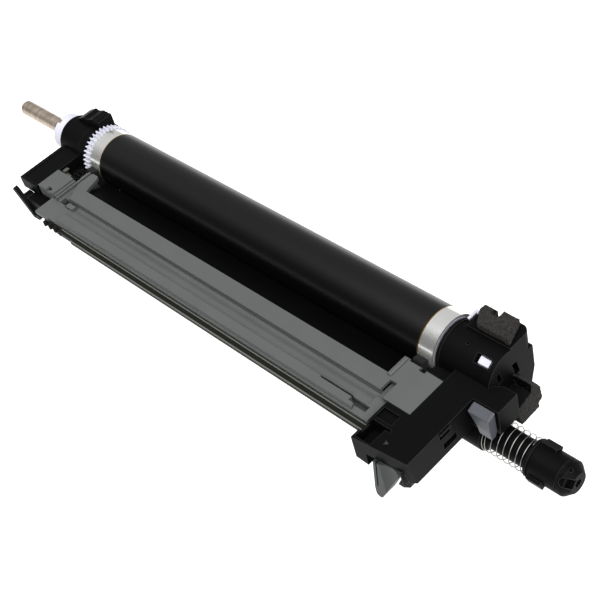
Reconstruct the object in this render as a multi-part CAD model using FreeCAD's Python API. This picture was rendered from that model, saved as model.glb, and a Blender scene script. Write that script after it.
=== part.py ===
import FreeCAD, Part
import math
import os

# Drum unit of an A4 printer, in millimetres.
# While it is modelled, X runs along the drum's axis and 0 is the left end of the coated length.
# -Y is the side of the grey cleaning frame and +Z is up. Every piece is moved at the end, so
# that the origin is the middle of the base at table level.

# Drum and shaft
drum_radius = 15.0
tube_wall = 1.0
tube_left = -9.0
tube_right = 240.0
shaft_radius = 4.6
tip_radius = 4.35
shaft_tip_x = -95.6
shaft_end_x = 261.0
shaft_chamfer = 2.6
running_gap = 0.05
press_gap = 0.02
seat_gap = 0.3

# Gears
gear_module = 0.8
drum_teeth = 38
idler_teeth = 22
auger_teeth = 18
idler_pin_radius = 1.5
gear_left = -14.0
gear_right = -9.3
tooth_play = 0.22

# Levels
top_level = 3.5
rest_level = -32.0
skin = 1.8
valley_level = 1.2
groove_level = -0.2
deck_under = -0.9

# Cleaning frame, seen along the drum
strip_near_y = -30.2
strip_far_y = -39.3
valley_y = -44.0
rib_near_y = -48.3
rib_far_y = -53.3
frame_front_y = -54.6
flange_front_y = -58.5
frame_left = 3.0
frame_right = 232.0
strip_slant = 4.0

# Blade
blade_angle = 195.0
blade_lift = 0.3
holder_thick = 1.2
blade_thick = 1.8
bend_y = -29.5

# Waste channel, auger and tube
auger_y = -15.6
auger_z = -22.0
auger_radius = 4.5
core_radius = 2.0
auger_pitch = 24.0
channel_radius = 5.4
tube_radius = 6.6
tube_bore = 5.3
tube_end_x = 312.0
outlet_left = 297.0
trough_left = -1.0
trough_right = 238.4

# Shutter and spring
boss_end_x = 271.0
boss_radius = 9.2
shutter_left = 294.0
shutter_right = 309.6
shutter_radius = 8.3
ear_radius = 9.9
ear_length = 9.5
spring_radius = 8.6
wire_radius = 0.3
spring_turns = 6.5

# Right housing
box_left = 239.0
box_right = 267.7
box_front_y = -64.6
box_bottom = -13.0
platform_right = 251.6
platform_front_y = -42.3
arm_end_x = 281.0
arm_front_y = -20.5
arm_back_y = -8.0
arm_bottom = -11.0
barrel_radius = 13.0
pad_rise = 0.5
barrel_left = 240.7
plate_x = 269.5
pad_level = barrel_radius + pad_rise
pad_left = 246.0
pad_front_y = 4.0
pad_back_y = 17.4
bearing_radius = 8.0

# Release lever
lever_pin_y = -23.0
lever_pin_z = -8.2
lever_pin_radius = 1.5
lever_left = 268.3
lever_right = 279.6

# Left bracket
rim_x = -41.0
left_barrel_radius = 12.5
bush_left = -50.0
bush_radius = 10.5
bush_spigot = 9.0
bracket_left = -38.5
bracket_right = -19.5
arm_tip_y = -43.5
arm_near_x = -23.0

# Seals
foam_thick = 3.5
seal_thick = 3.7
seal_radius = drum_radius + seat_gap + seal_thick
end_seal_left = -7.2


def vec(x, y, z):
    return FreeCAD.Vector(x, y, z)


def box(x0, x1, y0, y1, z0, z1):
    return Part.makeBox(x1 - x0, y1 - y0, z1 - z0, vec(x0, y0, z0))


def rod(x0, x1, r, y=0.0, z=0.0):
    return Part.makeCylinder(r, x1 - x0, vec(x0, y, z), vec(1, 0, 0))


def pipe(x0, x1, outer, inner, y=0.0, z=0.0):
    return rod(x0, x1, outer, y, z).cut(rod(x0 - 1, x1 + 1, inner, y, z))


def upright(x, y, z0, z1, r):
    return Part.makeCylinder(r, z1 - z0, vec(x, y, z0))


def face_of(points):
    wire = Part.makePolygon(points + [points[0]])
    return Part.Face(wire)


def prism_x(pairs, x0, x1):
    # A flat outline of (y, z) pairs, drawn out along the drum's axis.
    return face_of([vec(x0, y, z) for y, z in pairs]).extrude(vec(x1 - x0, 0, 0))


def prism_y(pairs, y0, y1):
    return face_of([vec(x, y0, z) for x, z in pairs]).extrude(vec(0, y1 - y0, 0))


def prism_z(pairs, z0, z1):
    return face_of([vec(x, y, z0) for x, y in pairs]).extrude(vec(0, 0, z1 - z0))


def turned(x, y, z, profile):
    # A solid of revolution about a line along X, from (distance along X, radius) pairs.
    points = [vec(x + a, y, z + r) for a, r in profile]
    return face_of(points).revolve(vec(x, y, z), vec(1, 0, 0), 360)


def joined(shapes):
    whole = shapes[0].multiFuse(shapes[1:])
    return whole.removeSplitter()


def polar(radius, degrees):
    angle = math.radians(degrees)
    return radius * math.cos(angle), radius * math.sin(angle)


def sector(x0, x1, inner, outer, start, end):
    # Part of a ring about the drum's axis, with angles counted from +Y towards +Z.
    middle = (start + end) / 2
    a, b, c = polar(outer, start), polar(outer, middle), polar(outer, end)
    d, e, f = polar(inner, end), polar(inner, middle), polar(inner, start)
    edges = [Part.Arc(vec(x0, *a), vec(x0, *b), vec(x0, *c)).toShape()]
    edges.append(Part.makeLine(vec(x0, *c), vec(x0, *d)))
    edges.append(Part.Arc(vec(x0, *d), vec(x0, *e), vec(x0, *f)).toShape())
    edges.append(Part.makeLine(vec(x0, *f), vec(x0, *a)))
    return Part.Face(Part.Wire(edges)).extrude(vec(x1 - x0, 0, 0))


# Gear teeth
pressure_angle = math.radians(20.0)


def involute(radius, base):
    if radius <= base:
        return 0.0
    angle = math.acos(base / radius)
    return math.tan(angle) - angle


def half_tooth(radius, teeth):
    # Half of the tooth's angle at this radius, with the running play taken off.
    pitch = teeth * gear_module / 2
    base = pitch * math.cos(pressure_angle)
    at_pitch = math.pi / (2 * teeth) - tooth_play / (4 * pitch)
    return at_pitch + involute(pitch, base) - involute(radius, base)


def gear_blank(teeth, first, x0, x1, y, z):
    # First is the angle in radians of one tooth's middle, from +Y towards +Z.
    pitch = teeth * gear_module / 2
    radii = [pitch - 1.2 * gear_module, pitch, pitch + gear_module]
    pairs = []
    for number in range(teeth):
        middle = first + number * 2 * math.pi / teeth
        rising = [(r, middle - half_tooth(r, teeth)) for r in radii]
        falling = [(r, middle + half_tooth(r, teeth)) for r in reversed(radii)]
        for r, angle in rising + falling:
            pairs.append((y + r * math.cos(angle), z + r * math.sin(angle)))
    return prism_x(pairs, x0, x1)


def idler_place():
    # Where circles about the drum and the auger cross, on the frame's side.
    to_drum = gear_module * (drum_teeth + idler_teeth) / 2
    to_auger = gear_module * (idler_teeth + auger_teeth) / 2
    span = math.hypot(auger_y, auger_z)
    along = (to_drum ** 2 - to_auger ** 2 + span ** 2) / (2 * span)
    across = math.sqrt(to_drum ** 2 - along ** 2)
    uy, uz = auger_y / span, auger_z / span
    return along * uy + across * uz, along * uz - across * uy


idler_y, idler_z = idler_place()
drum_to_idler = math.atan2(idler_z, idler_y)
idler_to_auger = math.atan2(auger_z - idler_z, auger_y - idler_y)


def idler_first():
    # A gap of the idler faces the drum gear's tooth.
    return drum_to_idler + math.pi + math.pi / idler_teeth


def auger_first():
    # The auger gear's gap lies where the idler's nearest tooth is.
    step = 2 * math.pi / idler_teeth
    behind = (idler_to_auger - idler_first()) / step
    offset = (round(behind) - behind) * step
    gap = idler_to_auger + math.pi - offset * idler_teeth / auger_teeth
    return gap + math.pi / auger_teeth


# Drum assembly
def drum_sleeve():
    return pipe(tube_left, tube_right, drum_radius, drum_radius - tube_wall)


def left_gear_flange():
    inner = drum_radius - tube_wall - press_gap
    blank = gear_blank(drum_teeth, drum_to_idler, gear_left, gear_right, 0.0, 0.0)
    land = rod(gear_right, tube_left, drum_radius - 0.3)
    spigot = rod(gear_right, tube_left + 12.0, inner)
    body = joined([blank, land, spigot])
    body = body.cut(pipe(gear_left - 0.1, gear_left + 1.4, 12.6, 8.2))
    return body.cut(rod(gear_left - 5.0, tube_left + 20.0, shaft_radius + press_gap))


def right_flange():
    inner = drum_radius - tube_wall - press_gap
    plug = rod(tube_right - 10.0, tube_right - 0.3, inner)
    return plug.cut(rod(tube_right - 20.0, tube_right + 5.0, shaft_radius + press_gap))


def drum_shaft():
    # The end outside the bush is ground a little thinner, for the coupling that goes on it.
    start = shaft_tip_x
    length = shaft_end_x - start
    step = bush_left - 0.6 - start
    profile = [(0, 0), (0, tip_radius - 1.9), (shaft_chamfer * 0.45, tip_radius - 0.9)]
    profile += [(shaft_chamfer, tip_radius), (step, tip_radius), (step, shaft_radius)]
    profile += [(length - 0.8, shaft_radius), (length, shaft_radius - 0.8)]
    profile += [(length, 0)]
    return turned(start, 0.0, 0.0, profile)


# Gear train and auger
def idler_gear():
    left, right = gear_left + 0.3, gear_right - 0.3
    body = gear_blank(idler_teeth, idler_first(), left, right, idler_y, idler_z)
    hub = rod(gear_left - 0.5, gear_right + 0.3, 3.4, idler_y, idler_z)
    body = joined([body, hub])
    return body.cut(rod(gear_left - 5, gear_right + 5, idler_pin_radius + running_gap, idler_y, idler_z))


def idler_pin():
    end = gear_right + 0.4
    pin = rod(bracket_right - 4.0, end + 0.2, idler_pin_radius, idler_y, idler_z)
    head = rod(end, end + 0.8, idler_pin_radius + 1.1, idler_y, idler_z)
    return joined([pin, head])


def auger_gear():
    left, right = gear_left + 0.3, gear_right - 0.3
    body = gear_blank(auger_teeth, auger_first(), left, right, auger_y, auger_z)
    hub = rod(gear_left - 1.5, gear_right + 1.5, 4.2, auger_y, auger_z)
    body = joined([body, hub])
    return body.cut(rod(gear_left - 5, gear_right + 5, core_radius + press_gap, auger_y, auger_z))


def coil_row(profile, x, angle):
    # One section of a coil, with its profile's (radius, along) pairs at this angle.
    cos, sin = math.cos(angle), math.sin(angle)
    return [vec(x + a, auger_y + r * cos, auger_z + r * sin) for r, a in profile]


def coil(profile, x0, length, turns, steps):
    # A closed profile carried round the auger's axis, with flat facets to keep its faces few.
    count = round(turns * steps)
    turn = 2 * math.pi * turns / count
    rows = [coil_row(profile, x0 + length * n / count, turn * n) for n in range(count + 1)]
    faces = [face_of(rows[0]), face_of(rows[-1])]
    for first, second in zip(rows, rows[1:]):
        for side in range(len(profile)):
            after = (side + 1) % len(profile)
            faces.append(face_of([first[side], first[after], second[after]]))
            faces.append(face_of([first[side], second[after], second[side]]))
    return Part.makeSolid(Part.makeShell(faces))


def waste_auger():
    steps = 10
    start, end = trough_left + 6.0, outlet_left - 2.0
    journal = rod(bracket_right - 3.0, start - 1.0, core_radius, auger_y, auger_z)
    corners = [(core_radius, 2 * math.pi * n / steps) for n in range(steps)]
    pairs = [(auger_y + r * math.cos(a), auger_z + r * math.sin(a)) for r, a in corners]
    core = prism_x(pairs, start - 1.0, end + 1.0)
    low = core_radius - 0.8
    profile = [(low, -0.7), (auger_radius, -0.4), (auger_radius, 0.4), (low, 0.7)]
    flight = coil(profile, start, end - start, (end - start) / auger_pitch, steps)
    return core.fuse([flight, journal])


# Left end
def left_bush():
    wide = rod(bush_left, rim_x - 0.05, bush_radius)
    body = wide.fuse(rod(rim_x - 0.2, bracket_right - 5.0, bush_spigot))
    body = body.cut(pipe(bush_left - 0.1, bush_left + 1.2, bush_radius - 1.6, shaft_radius + 2.2))
    notch = box(bush_left - 1, bush_left + 2.0, -1.2, 1.2, bush_radius - 1.8, bush_radius + 1)
    for degrees in (18, 198):
        part = notch.copy()
        part.rotate(vec(0, 0, 0), vec(1, 0, 0), degrees)
        body = body.cut(part)
    return body.cut(rod(bush_left - 5, bracket_right + 5, shaft_radius + running_gap))


def gear_cover():
    # The hooked cover beside the top of the gear, with grooves across its back.
    near, far = 2.0, 11.4
    high = left_barrel_radius + 6.4
    left, right = rim_x + 4.0, gear_left - 0.3
    pairs = [(left, 6.0), (left + 0.2, high - 6.0), (left + 7.6, high - 2.0), (left + 10.6, high - 2.4)]
    pairs += [(left + 16.0, high - 0.1), (right, high), (right, 6.0)]
    body = prism_y(pairs, near, far)
    tail = box(right - 8.0, right, far - 2.0, far + 1.6, 3.0, high - 9.4)
    body = joined([body, tail])
    body = body.cut(rod(bracket_right, right + 1, left_barrel_radius - 0.5))
    body = body.cut(rod(left - 1, bracket_right, bush_spigot + 0.5))
    for number in range(4):
        x = left + 11.6 + number * 2.7
        body = body.cut(box(x, x + 0.9, near + 1.5, far + 1.0, high - 1.7, high + 1.0))
    return body


def left_bracket():
    low = rest_level
    barrel = rod(rim_x, bracket_right, left_barrel_radius)
    arm = box(bracket_left, arm_near_x, arm_tip_y, -6.0, -4.0, top_level - 0.9)
    lip_back = -left_barrel_radius + 2.0
    lip = box(bracket_left, bracket_left + 1.6, arm_tip_y, lip_back, top_level - 1.0, top_level - 0.4)
    end_lip = box(bracket_left, arm_near_x, arm_tip_y, arm_tip_y + 1.4, top_level - 1.0, top_level - 0.4)
    lower = box(bracket_left + 2.5, bracket_right, -38.0, 9.0, low, -3.9)
    floor = box(bracket_right - 1.0, trough_left - 0.1, -38.0, -3.0, low, low + 1.4)
    front = box(bracket_right - 1.0, -4.6, -39.6, -37.9, low, -3.6)
    sill = box(-4.7, trough_left - 0.1, -39.6, -37.9, low, -12.2)
    collar = rod(bracket_right - 3.0, bracket_right + 2.4, left_barrel_radius + 0.9)
    slant = [(arm_near_x - 5.6, -3.9), (-9.2, -3.9), (-9.2, -11.0), (arm_near_x - 1.2, -11.0)]
    apron = prism_y(slant, arm_tip_y - 5.5, -39.4)
    body = joined([barrel, arm, lip, end_lip, lower, floor, front, sill, collar, apron, gear_cover()])
    body = body.cut(box(bracket_left + 4.7, bracket_right - 4.5, -35.8, 7.0, low - 0.1, -15.0))
    body = body.cut(rod(rim_x - 1, bracket_right - 4.8, bush_spigot + running_gap))
    body = body.cut(rod(rim_x - 1, bracket_right + 3, shaft_radius + 2.0))
    body = body.cut(rod(bracket_right - 4.1, bracket_right + 1, idler_pin_radius + press_gap, idler_y, idler_z))
    return body.cut(rod(bracket_right - 3.2, bracket_right + 1, core_radius + running_gap, auger_y, auger_z))


def guide_fin():
    # The leaning wall at the far left corner, with its rounded foot.
    top_x, low_x = bracket_left + 1.6, bracket_left + 12.6
    low = -14.8
    pairs = [(top_x, 0.4), (top_x + 1.4, 2.0), (top_x + 3.2, 1.0), (low_x + 2.0, low + 1.6)]
    pairs += [(low_x + 6.5, low + 3.4), (low_x + 8.2, low + 1.8), (low_x + 6.0, low - 0.2), (low_x, low - 0.6)]
    wall = prism_y(pairs, arm_tip_y - 7.6, arm_tip_y - running_gap)
    return wall.cut(box(top_x - 1, low_x, arm_tip_y - 5.0, arm_tip_y, -4.2, 3.0))


def earth_contact():
    x0, x1 = arm_near_x + 0.3, bracket_right + 1.3
    flat = box(x0, x1, -26.0, -22.6, -3.9, -3.5)
    riser = box(x0 + 1.0, x0 + 1.4, -26.0, -22.6, -3.6, 1.6)
    hook = box(x0 + 1.0, x0 + 3.6, -26.0, -22.6, 1.5, 1.9)
    return joined([flat, riser, hook])


# Cleaning frame
def frame_profile():
    lower = valley_level - skin
    pairs = [(strip_near_y, top_level), (strip_far_y, top_level), (strip_far_y - 0.5, groove_level + 0.5)]
    pairs += [(strip_far_y - 2.4, groove_level), (valley_y, valley_level), (rib_near_y + 0.3, valley_level)]
    pairs += [(rib_near_y, top_level - 0.4), (rib_far_y, top_level - 0.4), (rib_far_y - 0.5, valley_level)]
    pairs += [(frame_front_y, valley_level), (frame_front_y, deck_under), (valley_y + 0.4, deck_under)]
    pairs += [(strip_far_y - 2.0, groove_level - skin), (strip_far_y + 1.3, groove_level - skin)]
    pairs += [(strip_far_y + 1.3, top_level - skin), (strip_near_y, top_level - skin)]
    return pairs


def frame_left_end():
    plate_low = top_level - skin
    left = arm_near_x + 0.4
    platform = box(left, -8.2, -42.0, -27.5, plate_low, top_level)
    platform = platform.cut(box(-15.2, -11.8, -43.0, -39.3, 0.0, 5.0))
    shelf = box(-8.3, -6.5, -42.0, -27.5, plate_low, top_level - 1.0)
    skirt = box(left, -6.5, -42.0, -40.4, -3.4, plate_low)
    web = box(-6.6, -4.3, -43.0, -19.5, -2.5, 1.2)
    wall = box(-4.4, -1.2, -43.0, -19.0, -12.0, plate_low + 0.1)
    ridge = box(-4.4, -3.2, -43.2, -18.0, plate_low, top_level)
    tray = box(-8.7, frame_left + 0.2, frame_front_y - 0.8, -42.9, deck_under, valley_level)
    step = box(-1.3, frame_left + 0.2, strip_far_y, strip_near_y, deck_under, valley_level + 0.3)
    plan = [(frame_left + 0.3, strip_far_y), (-0.4, -31.8), (-1.8, -29.0), (-1.8, -19.6), (-0.8, -18.6)]
    plan += [(frame_left, -18.6), (frame_left + 1.2, -19.8), (frame_left + strip_slant + 0.2, strip_near_y - 0.3)]
    bar = prism_z(plan, plate_low - 0.3, top_level)
    peg = box(5.0, 11.0, -43.9, -41.0, groove_level - 0.4, valley_level + 1.2)
    saddle = box(end_seal_left, -1.2, -24.0, -12.0, -12.0, plate_low)
    return [platform, shelf, skirt, web, wall, ridge, tray, step, bar, peg, saddle]


def frame_right_end():
    plate_low = top_level - skin
    lip = box(frame_right - 3.6, frame_right, strip_near_y - 0.8, -19.0, -6.0, top_level)
    outline = [(frame_right - 0.1, -20.0), (platform_right - 0.1, -20.5), (platform_right - 0.1, -42.2)]
    outline += [(236.0, -42.2), (236.0, -32.7), (frame_right - 0.1, -32.7)]
    platform = prism_z(outline, plate_low, top_level)
    notch = box(platform_right - 13.0, platform_right - 9.5, -21.9, -19.0, 0.0, 5.0)
    link = box(frame_right - 0.2, trough_right, frame_front_y, -41.8, deck_under, valley_level)
    under = box(frame_right - 0.2, 236.1, -42.2, -32.0, deck_under, valley_level - 0.9)
    saddle = box(frame_right + 0.2, trough_right - 0.2, -24.0, -12.0, -12.0, plate_low + 0.1)
    return [lip, platform.cut(notch), link, under, saddle]


def cleaning_frame():
    body = prism_x(frame_profile(), frame_left, frame_right)
    rib_cut = box(frame_left - 1, 10.0, frame_front_y - 1, rib_near_y + 0.35, valley_level, 6.0)
    body = body.cut(rib_cut)
    over = frame_right + 1
    rib_end = [(224.2, rib_near_y + 0.4), (over, rib_near_y + 0.4), (over, frame_front_y - 1)]
    rib_end += [(228.6, frame_front_y - 1), (227.4, -51.4), (225.2, -51.2)]
    body = body.cut(prism_z(rib_end, valley_level, 6.0))
    body = joined([body] + frame_left_end() + frame_right_end())
    body = body.cut(box(205.0, 224.3, rib_near_y - 0.9, rib_near_y, -2.0, 5.0))
    body = body.cut(box(224.2, 233.6, -51.2, rib_near_y + 0.2, -2.0, 5.0))
    body = body.cut(rod(-10.0, 260.0, seal_radius))
    for x in screw_places():
        body = body.cut(upright(x, -34.4, 0.0, top_level - 0.6, 1.4 + press_gap))
    auger_room = rod(-20.0, trough_left + 0.1, 9.0, auger_y, auger_z)
    return body.cut(auger_room)


def screw_places():
    middle = (frame_left + frame_right) / 2
    reach = (frame_right - frame_left) / 2 - 12.0
    return [middle - reach, middle, middle + reach]


# Cleaning blade and its holder
def blade_frame():
    # Start of the slanted part, and its direction towards the drum.
    start = (bend_y, top_level - skin - holder_thick / 2)
    aim = polar(drum_radius + blade_lift, blade_angle)
    length = math.hypot(aim[0] - start[0], aim[1] - start[1])
    return start, ((aim[0] - start[0]) / length, (aim[1] - start[1]) / length)


def slanted(s0, s1, t0, t1, x0, x1):
    (py, pz), (dy, dz) = blade_frame()
    corners = [(s0, t0), (s1, t0), (s1, t1), (s0, t1)]
    pairs = [(py + s * dy - t * dz, pz + s * dz + t * dy) for s, t in corners]
    return prism_x(pairs, x0, x1)


def blade_reach():
    # Distance along the slant at which the blade's upper corner is just off the drum.
    (py, pz), (dy, dz) = blade_frame()
    t = -holder_thick / 2
    y, z = py - t * dz, pz + t * dy
    along = -(y * dy + z * dz)
    across = math.hypot(y, z) ** 2 - along ** 2
    return along - math.sqrt((drum_radius + blade_lift) ** 2 - across)


def blade_holder():
    upper = top_level - skin - press_gap
    left, right = frame_left + strip_slant + 0.4, frame_right - 4.0
    flat = box(left, right, -37.6, bend_y, upper - holder_thick, upper)
    slope = slanted(-0.2, 10.5, -holder_thick / 2, holder_thick / 2, left, right)
    body = joined([flat, slope])
    for x in screw_places():
        body = body.cut(upright(x, -34.4, -5.0, 5.0, 1.5))
    return body


def cleaning_blade():
    low = -holder_thick / 2 - blade_thick
    high = -holder_thick / 2 - press_gap
    return slanted(4.0, blade_reach(), low, high, frame_left + 1.5, frame_right - 5.0)


def blade_screws():
    upper = top_level - skin - press_gap - holder_thick
    shapes = []
    for x in screw_places():
        corners = [polar(2.7, 60 * number) for number in range(6)]
        head = prism_z([(x + a, b - 34.4) for a, b in corners], upper - 1.8, upper - press_gap)
        shank = upright(x, -34.4, upper - 0.2, top_level - 0.8, 1.4)
        shapes.append(head.fuse(shank))
    return Part.makeCompound(shapes)


# Lower trough
def trough_profile():
    low = rest_level
    pairs = [(flange_front_y, deck_under - 0.02), (flange_front_y, deck_under - 1.8), (-56.0, deck_under - 1.8)]
    pairs += [(-52.6, -14.0), (-42.0, low), (-6.0, low), (-4.2, -25.0), (-8.6, -16.9), (-10.2, -18.3)]
    pairs += [(auger_y + channel_radius, auger_z), (auger_y, auger_z)]
    pairs += [(auger_y - channel_radius, auger_z), (auger_y - channel_radius, -14.0), (-50.6, -9.5)]
    pairs += [(-51.6, deck_under - 0.02)]
    return pairs


def lower_trough():
    body = prism_x(trough_profile(), trough_left, trough_right)
    body = body.cut(rod(trough_left + 2.0, trough_right + 1, channel_radius, auger_y, auger_z))
    high = [(-50.5, -9.6), (-50.5, deck_under - 1.0), (-31.0, deck_under - 1.0), (-25.0, -12.5), (-14.0, -17.0)]
    low = [(-10.4, -18.4), (-12.0, -22.0), (-21.5, -22.0), (-21.5, -14.0)]
    wall = prism_x(high + low, trough_left, trough_left + 2.0)
    end = prism_x(high + [(-21.5, -16.0)], trough_right - 2.0, trough_right)
    body = joined([body, wall, end])
    count = 8
    step = (trough_right - trough_left) / count
    for number in range(count):
        x0 = trough_left + number * step + 0.9
        pocket = [(-50.0, -14.2), (-24.0, -16.2), (-24.0, rest_level - 0.1), (-39.7, rest_level - 0.1)]
        body = body.cut(prism_x(pocket, x0, x0 + step - 1.8))
    body = body.cut(box(trough_left - 1, 15.5, flange_front_y - 1, frame_front_y - 0.9, -5.0, 0.0))
    for number in range(4):
        x = trough_left + 1.0 + number * 4.6
        body = body.fuse(box(x, x + 1.4, -57.4, frame_front_y - 0.8, deck_under - 3.0, deck_under - 0.02))
    body = body.cut(box(15.0, 27.0, flange_front_y - 1, flange_front_y + 1.4, -5.0, 0.0))
    for x, y in ((27.0, flange_front_y), (15.5, frame_front_y - 1.0)):
        body = body.fuse(box(x, trough_right, y, y + 0.6, deck_under - 0.3, deck_under + 0.6))
    body = body.cut(rod(trough_left - 1, trough_left + 3, core_radius + running_gap, auger_y, auger_z))
    return body.cut(rod(trough_left - 1, trough_right + 1, drum_radius + 1.5))


def lower_seal():
    # Thin film from the trough's lip towards the drum.
    tip = polar(drum_radius + 0.5, 249.0)
    back = (-9.6, -17.66)
    dy, dz = tip[0] - back[0], tip[1] - back[1]
    length = math.hypot(dy, dz)
    ny, nz = -dz / length * 0.4, dy / length * 0.4
    pairs = [back, tip, (tip[0] + ny, tip[1] + nz), (back[0] + ny, back[1] + nz)]
    return prism_x(pairs, 1.0, frame_right - 3.0)


def left_end_seal():
    return sector(end_seal_left, -1.2, drum_radius + seat_gap, seal_radius - press_gap, 167.0, 215.0)


def right_end_seal():
    right = trough_right - 0.2
    return sector(frame_right + 0.3, right, drum_radius + seat_gap, seal_radius - press_gap, 167.0, 215.0)


# Right housing
def box_outline():
    front = [(box_left, box_front_y - 0.8), (box_right, box_front_y + 2.2)]
    return front + [(box_right, platform_front_y), (box_left, platform_front_y)]


def lower_outline():
    low = rest_level
    pairs = [(-12.0, 0.0), (arm_front_y, 0.0), (arm_front_y, -13.0), (-24.4, auger_z), (-19.0, low)]
    return pairs + [(0.0, low), (5.4, low + 2.6), (14.8, -18.4), (17.4, -10.4), (pad_back_y - 1.2, 3.0)]


def box_pockets():
    deep = box(box_left + 1.0, box_left + 9.4, -63.8, -53.0, top_level - 7.0, top_level + 1)
    mouth = box(box_left - 1, box_left + 2.0, -60.3, -55.2, top_level - 1.8, top_level + 1)
    nick = box(box_left + 9.0, box_left + 11.8, -54.4, -52.8, top_level - 1.8, top_level + 1)
    shallow = box(box_left + 1.2, box_left + 10.0, -51.2, -45.4, top_level - 1.6, top_level + 1)
    hollow = box(box_left + 13.0, box_right - 2.2, -56.5, platform_front_y, box_bottom - 1, top_level - 2.2)
    hollow_back = box(platform_right - 8.0, box_right - 2.2, platform_front_y - 1, -28.0, box_bottom - 1, -0.6)
    slots = [box(box_right - 2.2, box_right + 1, -42.6, -36.2, -1.8, 0.9)]
    slots.append(box(box_right - 2.2, box_right + 1, -41.2, -33.0, -9.6, -5.6))
    foot = box(245.2, 264.8, box_front_y - 2, -57.4, box_bottom - 1, -4.2)
    return [deep, mouth, nick, shallow, hollow, hollow_back, foot] + slots


def right_windows():
    # Openings in the barrel for the bearing's hooks, and holes in its end wall.
    peg = box(258.8, 267.2, -2.2, 2.2, 7.0, barrel_radius + 2)
    peg.rotate(vec(0, 0, 0), vec(1, 0, 0), 31)
    small = Part.makeCylinder(0.6, 4.0, vec(252.0, -3.4, 10.5))
    diamond = prism_x([(6.2, 3.0), (3.2, 3.0), (4.7, -5.6), (7.7, -4.6)], 263.0, plate_x + 1)
    slot = prism_x([(-5.1, 6.2), (-6.9, 4.8), (-5.9, -0.9), (-3.8, 0.3)], 267.0, plate_x + 1)
    dot = rod(266.0, plate_x + 1, 0.8, -2.3, -6.2)
    return [peg, small, diamond, slot, dot]


def bevelled_corner():
    # A corner cut whose width grows downwards, at the front of the box.
    top = vec(box_right, box_front_y + 2.2, top_level)
    left = vec(box_right - 10.6, box_front_y - 0.2, box_bottom - 7.0)
    back = vec(box_right + 2.4, box_front_y + 8.5, box_bottom - 7.0)
    out = vec(box_right + 2.4, box_front_y - 2.0, box_bottom - 7.0)
    sides = [face_of([top, left, out]), face_of([top, out, back])]
    sides += [face_of([top, back, left]), face_of([left, back, out])]
    return Part.makeSolid(Part.makeShell(sides))


def pad_cuts():
    # The pad's rounded corner, and the notch that it shares with its foam.
    middle_x, middle_y = plate_x - 4.0, pad_back_y - 4.0
    corner = box(middle_x, plate_x + 1, middle_y, pad_back_y + 1, 3.0, pad_level + 1)
    corner = corner.cut(upright(middle_x, middle_y, 2.0, pad_level + 2, 4.0))
    notch = box(pad_left + 5.9, pad_left + 10.0, pad_back_y - 4.9, pad_back_y + 1, 8.0, pad_level + 1)
    return [corner, notch]


def right_housing():
    block = prism_z(box_outline(), box_bottom, top_level)
    shoulder = box(platform_right, box_right, platform_front_y - 0.1, -10.0, box_bottom, top_level)
    under = box(box_left - 0.4, platform_right + 0.1, platform_front_y - 0.1, -18.8, box_bottom, top_level - skin - 0.05)
    body = joined([block, shoulder, under])
    for piece in box_pockets():
        body = body.cut(piece)
    rise = [(box_left - 1, box_bottom + 3.0), (box_left + 9.5, box_bottom - 0.1), (box_left - 1, box_bottom - 0.1)]
    body = body.cut(prism_y(rise, box_front_y - 3, -57.0))
    arm_plan = [(box_right - 2, arm_front_y), (arm_end_x, arm_front_y), (arm_end_x, arm_back_y), (274.0, arm_back_y)]
    arm_plan += [(box_right + 0.8, -12.0), (box_right - 2, -12.0)]
    arm = prism_z(arm_plan, arm_bottom, top_level)
    barrel = rod(barrel_left, plate_x, barrel_radius)
    rim = pipe(barrel_left, barrel_left + 1.6, barrel_radius + 0.6, barrel_radius - 1)
    pad = box(pad_left, plate_x, pad_front_y - 0.6, pad_back_y, -10.0, pad_level)
    for piece in pad_cuts():
        pad = pad.cut(piece)
    chin = prism_y([(261.6, -11.5), (266.0, -11.5), (264.2, -17.4), (258.8, -17.4)], box_front_y + 2.4, -57.0)
    lower = prism_x(lower_outline(), box_left - 0.4, plate_x)
    foot = box(box_left - 0.4, 254.0, -40.0, -18.0, rest_level, box_bottom + 2.0)
    boss = rod(plate_x - 20, boss_end_x, boss_radius, auger_y, auger_z)
    lip = box(box_right - 0.5, box_right + 0.9, -42.6, -36.2, 1.7, 2.6)
    latch = box(barrel_left + 1.2, pad_left + 0.2, 7.4, 14.6, 5.0, pad_level - 2.2)
    body = joined([body, arm, barrel, rim, pad, lower, foot, boss, lip, latch, chin])
    body = body.cut(bevelled_corner())
    body = body.cut(box(box_left - 1.5, 251.8, -38.0, -25.6, rest_level - 1, box_bottom - 1.6))
    body = body.cut(rod(box_left - 5, barrel_left, drum_radius + 1.2))
    body = body.cut(rod(box_left - 5, 264.0, bearing_radius + press_gap))
    body = body.cut(rod(box_left - 5, 247.0, channel_radius, auger_y, auger_z))
    body = body.cut(rod(246.0, boss_end_x + 1, tube_radius + press_gap, auger_y, auger_z))
    body = body.cut(rod(262.0, box_right + 1, lever_pin_radius + press_gap, lever_pin_y, lever_pin_z))
    for piece in right_windows():
        body = body.cut(piece)
    return body


def right_bearing():
    body = rod(barrel_left + 0.2, 263.4, bearing_radius)
    hook = box(260.4, 265.9, -1.7, 1.7, bearing_radius - 0.7, barrel_radius - 1.1)
    hook.rotate(vec(0, 0, 0), vec(1, 0, 0), 31)
    body = joined([body, hook])
    return body.cut(rod(barrel_left - 5, 270.0, shaft_radius + running_gap))


def latch_clip():
    base = pad_level - 2.2
    long_leg = box(barrel_left + 1.8, barrel_left + 3.2, 7.9, 14.0, base, base + 1.0)
    short_leg = box(barrel_left + 3.1, pad_left - 0.4, 12.4, 14.0, base, base + 1.0)
    return joined([long_leg, short_leg])


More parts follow.
